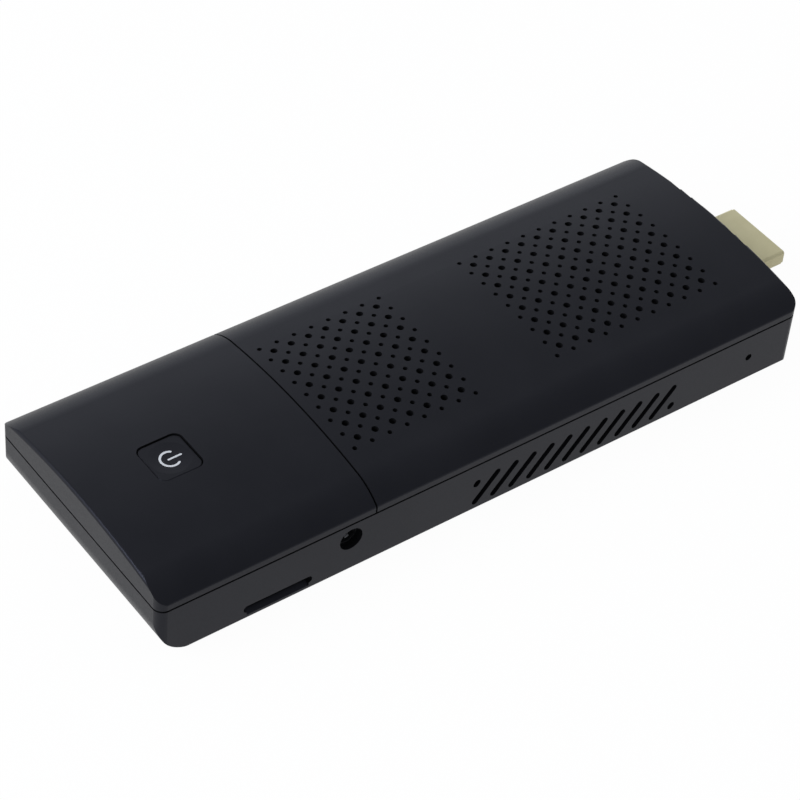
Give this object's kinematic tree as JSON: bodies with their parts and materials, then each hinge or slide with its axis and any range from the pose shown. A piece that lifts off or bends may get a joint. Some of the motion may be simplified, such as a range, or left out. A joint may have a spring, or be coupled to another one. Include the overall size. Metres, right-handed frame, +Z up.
{
  "type": "hdmi stick computer",
  "caption": "Long flat black stick computer with a crowned, perforated top, square power button, slanted side vents, side ports and a fixed HDMI plug at one end.",
  "frame": {"origin": "middle of the bounding box in plan, on the plane that the stick lies on", "axes": "+X from the button end to the plug, +Y to the side with the USB ports, +Z up"},
  "size_m": [0.1378, 0.0456, 0.0154],
  "materials": {
    "casing": "fine-textured satin black",
    "button": "satin black with a pale power symbol",
    "moulding": "black insulator",
    "pale_moulding": "ivory",
    "blue_moulding": "blue insulator",
    "board": "green solder mask",
    "module_board": "blue solder mask",
    "package": "green substrate with a bare die",
    "chips": "black moulded package",
    "pad": "soft grey-blue gap pad",
    "sink": "extruded, natural",
    "screws": "zinc-plated",
    "steel": "ground",
    "bronze": "sintered bronze",
    "ferrite": "dark grey ferrite",
    "copper": "copper",
    "cable": "black jacket",
    "fan": "black",
    "plug_shell": "satin gold plating on steel",
    "gold": "gold plating",
    "sheet": "tinned steel sheet"
  },
  "bodies": {
    "housing": {"bottom_tray": "casing", "main_cover": "casing", "front_cap": "casing", "power_switch_body": "moulding", "main_board": "board", "board_screws": "screws", "processor": "package", "thermal_pad": "pad", "heat_sink": "sink", "heat_sink_screws": "screws", "memory_chips": "chips", "storage_chip": "chips", "power_controller": "chips", "power_inductors": "ferrite", "wireless_module": "module_board", "wireless_shield": "sheet", "antenna": "copper", "antenna_cable": "cable", "fan_frame": "fan", "fan_lid": "fan", "fan_bearing": "bronze", "fan_stator": "copper", "fan_screws": "screws", "hdmi_shell": "plug_shell", "hdmi_insert": "moulding", "hdmi_contacts": "gold", "usb3_shell": "sheet", "usb3_tongue": "blue_moulding", "usb3_contacts": "gold", "usb2_shell": "sheet", "usb2_tongue": "moulding", "usb2_contacts": "gold", "power_inlet_shell": "sheet", "power_inlet_tongue": "moulding", "power_inlet_contacts": "gold", "audio_jack_body": "moulding", "audio_jack_springs": "gold", "card_socket_base": "moulding", "card_socket_shell": "sheet", "card_contacts": "gold", "reset_switch_body": "sheet"},
    "button": {"power_button": "button"},
    "switch_plunger": {"power_switch_plunger": "moulding"},
    "rotor": {"fan_impeller": "fan", "fan_magnet": "ferrite", "fan_shaft": "steel"},
    "ejector": {"card_ejector": "pale_moulding"},
    "reset": {"reset_switch_plunger": "pale_moulding"}
  },
  "joints": [
    {"name": "power_press", "type": "slide", "parent": "housing", "child": "button", "axis": [0, 0, -1], "range_m": [0, 0.0003], "stiffness_N_per_m": 400, "springref_m": -0.0005},
    {"name": "power_plunger_travel", "type": "slide", "parent": "housing", "child": "switch_plunger", "axis": [0, 0, -1], "range_m": [0, 0.0003]},
    {"name": "fan_spin", "type": "hinge", "parent": "housing", "child": "rotor", "pos_m": [0.0294, 0, 0.006], "axis": [0, 0, 1], "continuous": true},
    {"name": "card_eject", "type": "slide", "parent": "housing", "child": "ejector", "axis": [0, 1, 0], "range_m": [0, 0.001], "stiffness_N_per_m": 200, "springref_m": -0.0005},
    {"name": "reset_press", "type": "slide", "parent": "housing", "child": "reset", "axis": [0, 1, 0], "range_m": [0, 0.00025], "stiffness_N_per_m": 400, "springref_m": -0.0005}
  ],
  "couplings": [
    {"joint": "power_plunger_travel", "follows": "power_press", "ratio": 1}
  ]
}
